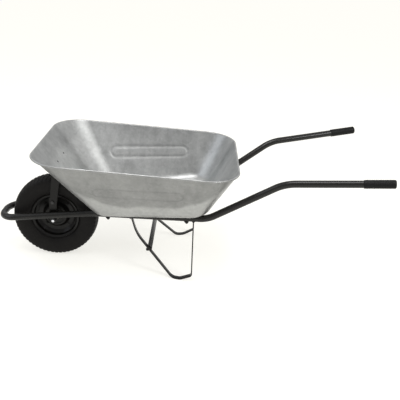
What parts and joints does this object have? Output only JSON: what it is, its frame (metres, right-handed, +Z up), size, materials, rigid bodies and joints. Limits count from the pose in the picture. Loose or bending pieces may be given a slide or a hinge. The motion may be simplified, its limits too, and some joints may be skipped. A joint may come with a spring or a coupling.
{
  "type": "wheelbarrow",
  "caption": "Single-wheel builder's wheelbarrow with a galvanised tray, a bent tube frame, strip legs and a pneumatic wheel that turns.",
  "frame": {"origin": "on the ground, at the centre of the box around the whole wheelbarrow", "axes": "+X from the wheel to the handles, +Y to the right-hand side of a user who faces the wheel, +Z up"},
  "size_m": [1.5628, 0.7096, 0.526],
  "materials": {
    "galvanised_sheet": "hot-dip galvanised sheet, satin with fine spangle",
    "black_paint": "gloss black enamel",
    "grip_rubber": "soft matt sleeve",
    "tyre_rubber": "black tread rubber",
    "butyl": "smooth black butyl",
    "zinc": "bright zinc plate",
    "steel_wire": "drawn wire",
    "bush_plastic": "natural nylon",
    "cap_plastic": "black plastic"
  },
  "bodies": {
    "frame": {"frame_tube": "black_paint", "grip_left": "grip_rubber", "grip_right": "grip_rubber", "tray": "galvanised_sheet", "rim_wire": "steel_wire", "front_stay": "black_paint", "axle_bracket_left": "black_paint", "axle_bracket_right": "black_paint", "leg_left": "black_paint", "leg_right": "black_paint", "leg_cross_bar": "black_paint", "axle_spacers": "zinc", "axle_bolt": "zinc", "axle_washers": "zinc", "axle_nut": "zinc", "tray_bolts": "black_paint", "tray_washers": "black_paint", "tray_nuts": "black_paint", "stay_bolts": "black_paint", "stay_washers": "black_paint", "stay_nuts": "black_paint", "cross_bar_bolts": "black_paint", "cross_bar_washers": "black_paint", "cross_bar_nuts": "black_paint", "bracket_bolts": "black_paint", "bracket_nuts": "black_paint"},
    "wheel": {"hub_tube": "black_paint", "hub_bush_left": "bush_plastic", "hub_bush_right": "bush_plastic", "wheel_rim_left": "black_paint", "wheel_rim_right": "black_paint", "wheel_rim_bolts": "black_paint", "wheel_rim_nuts": "black_paint", "tyre": "tyre_rubber", "inner_tube": "butyl", "valve_stem": "butyl", "valve_cap": "cap_plastic"}
  },
  "joints": [
    {"name": "wheel_spin", "type": "hinge", "parent": "frame", "child": "wheel", "pos_m": [-0.543, 0, 0.18], "axis": [0, 1, 0], "continuous": true}
  ]
}
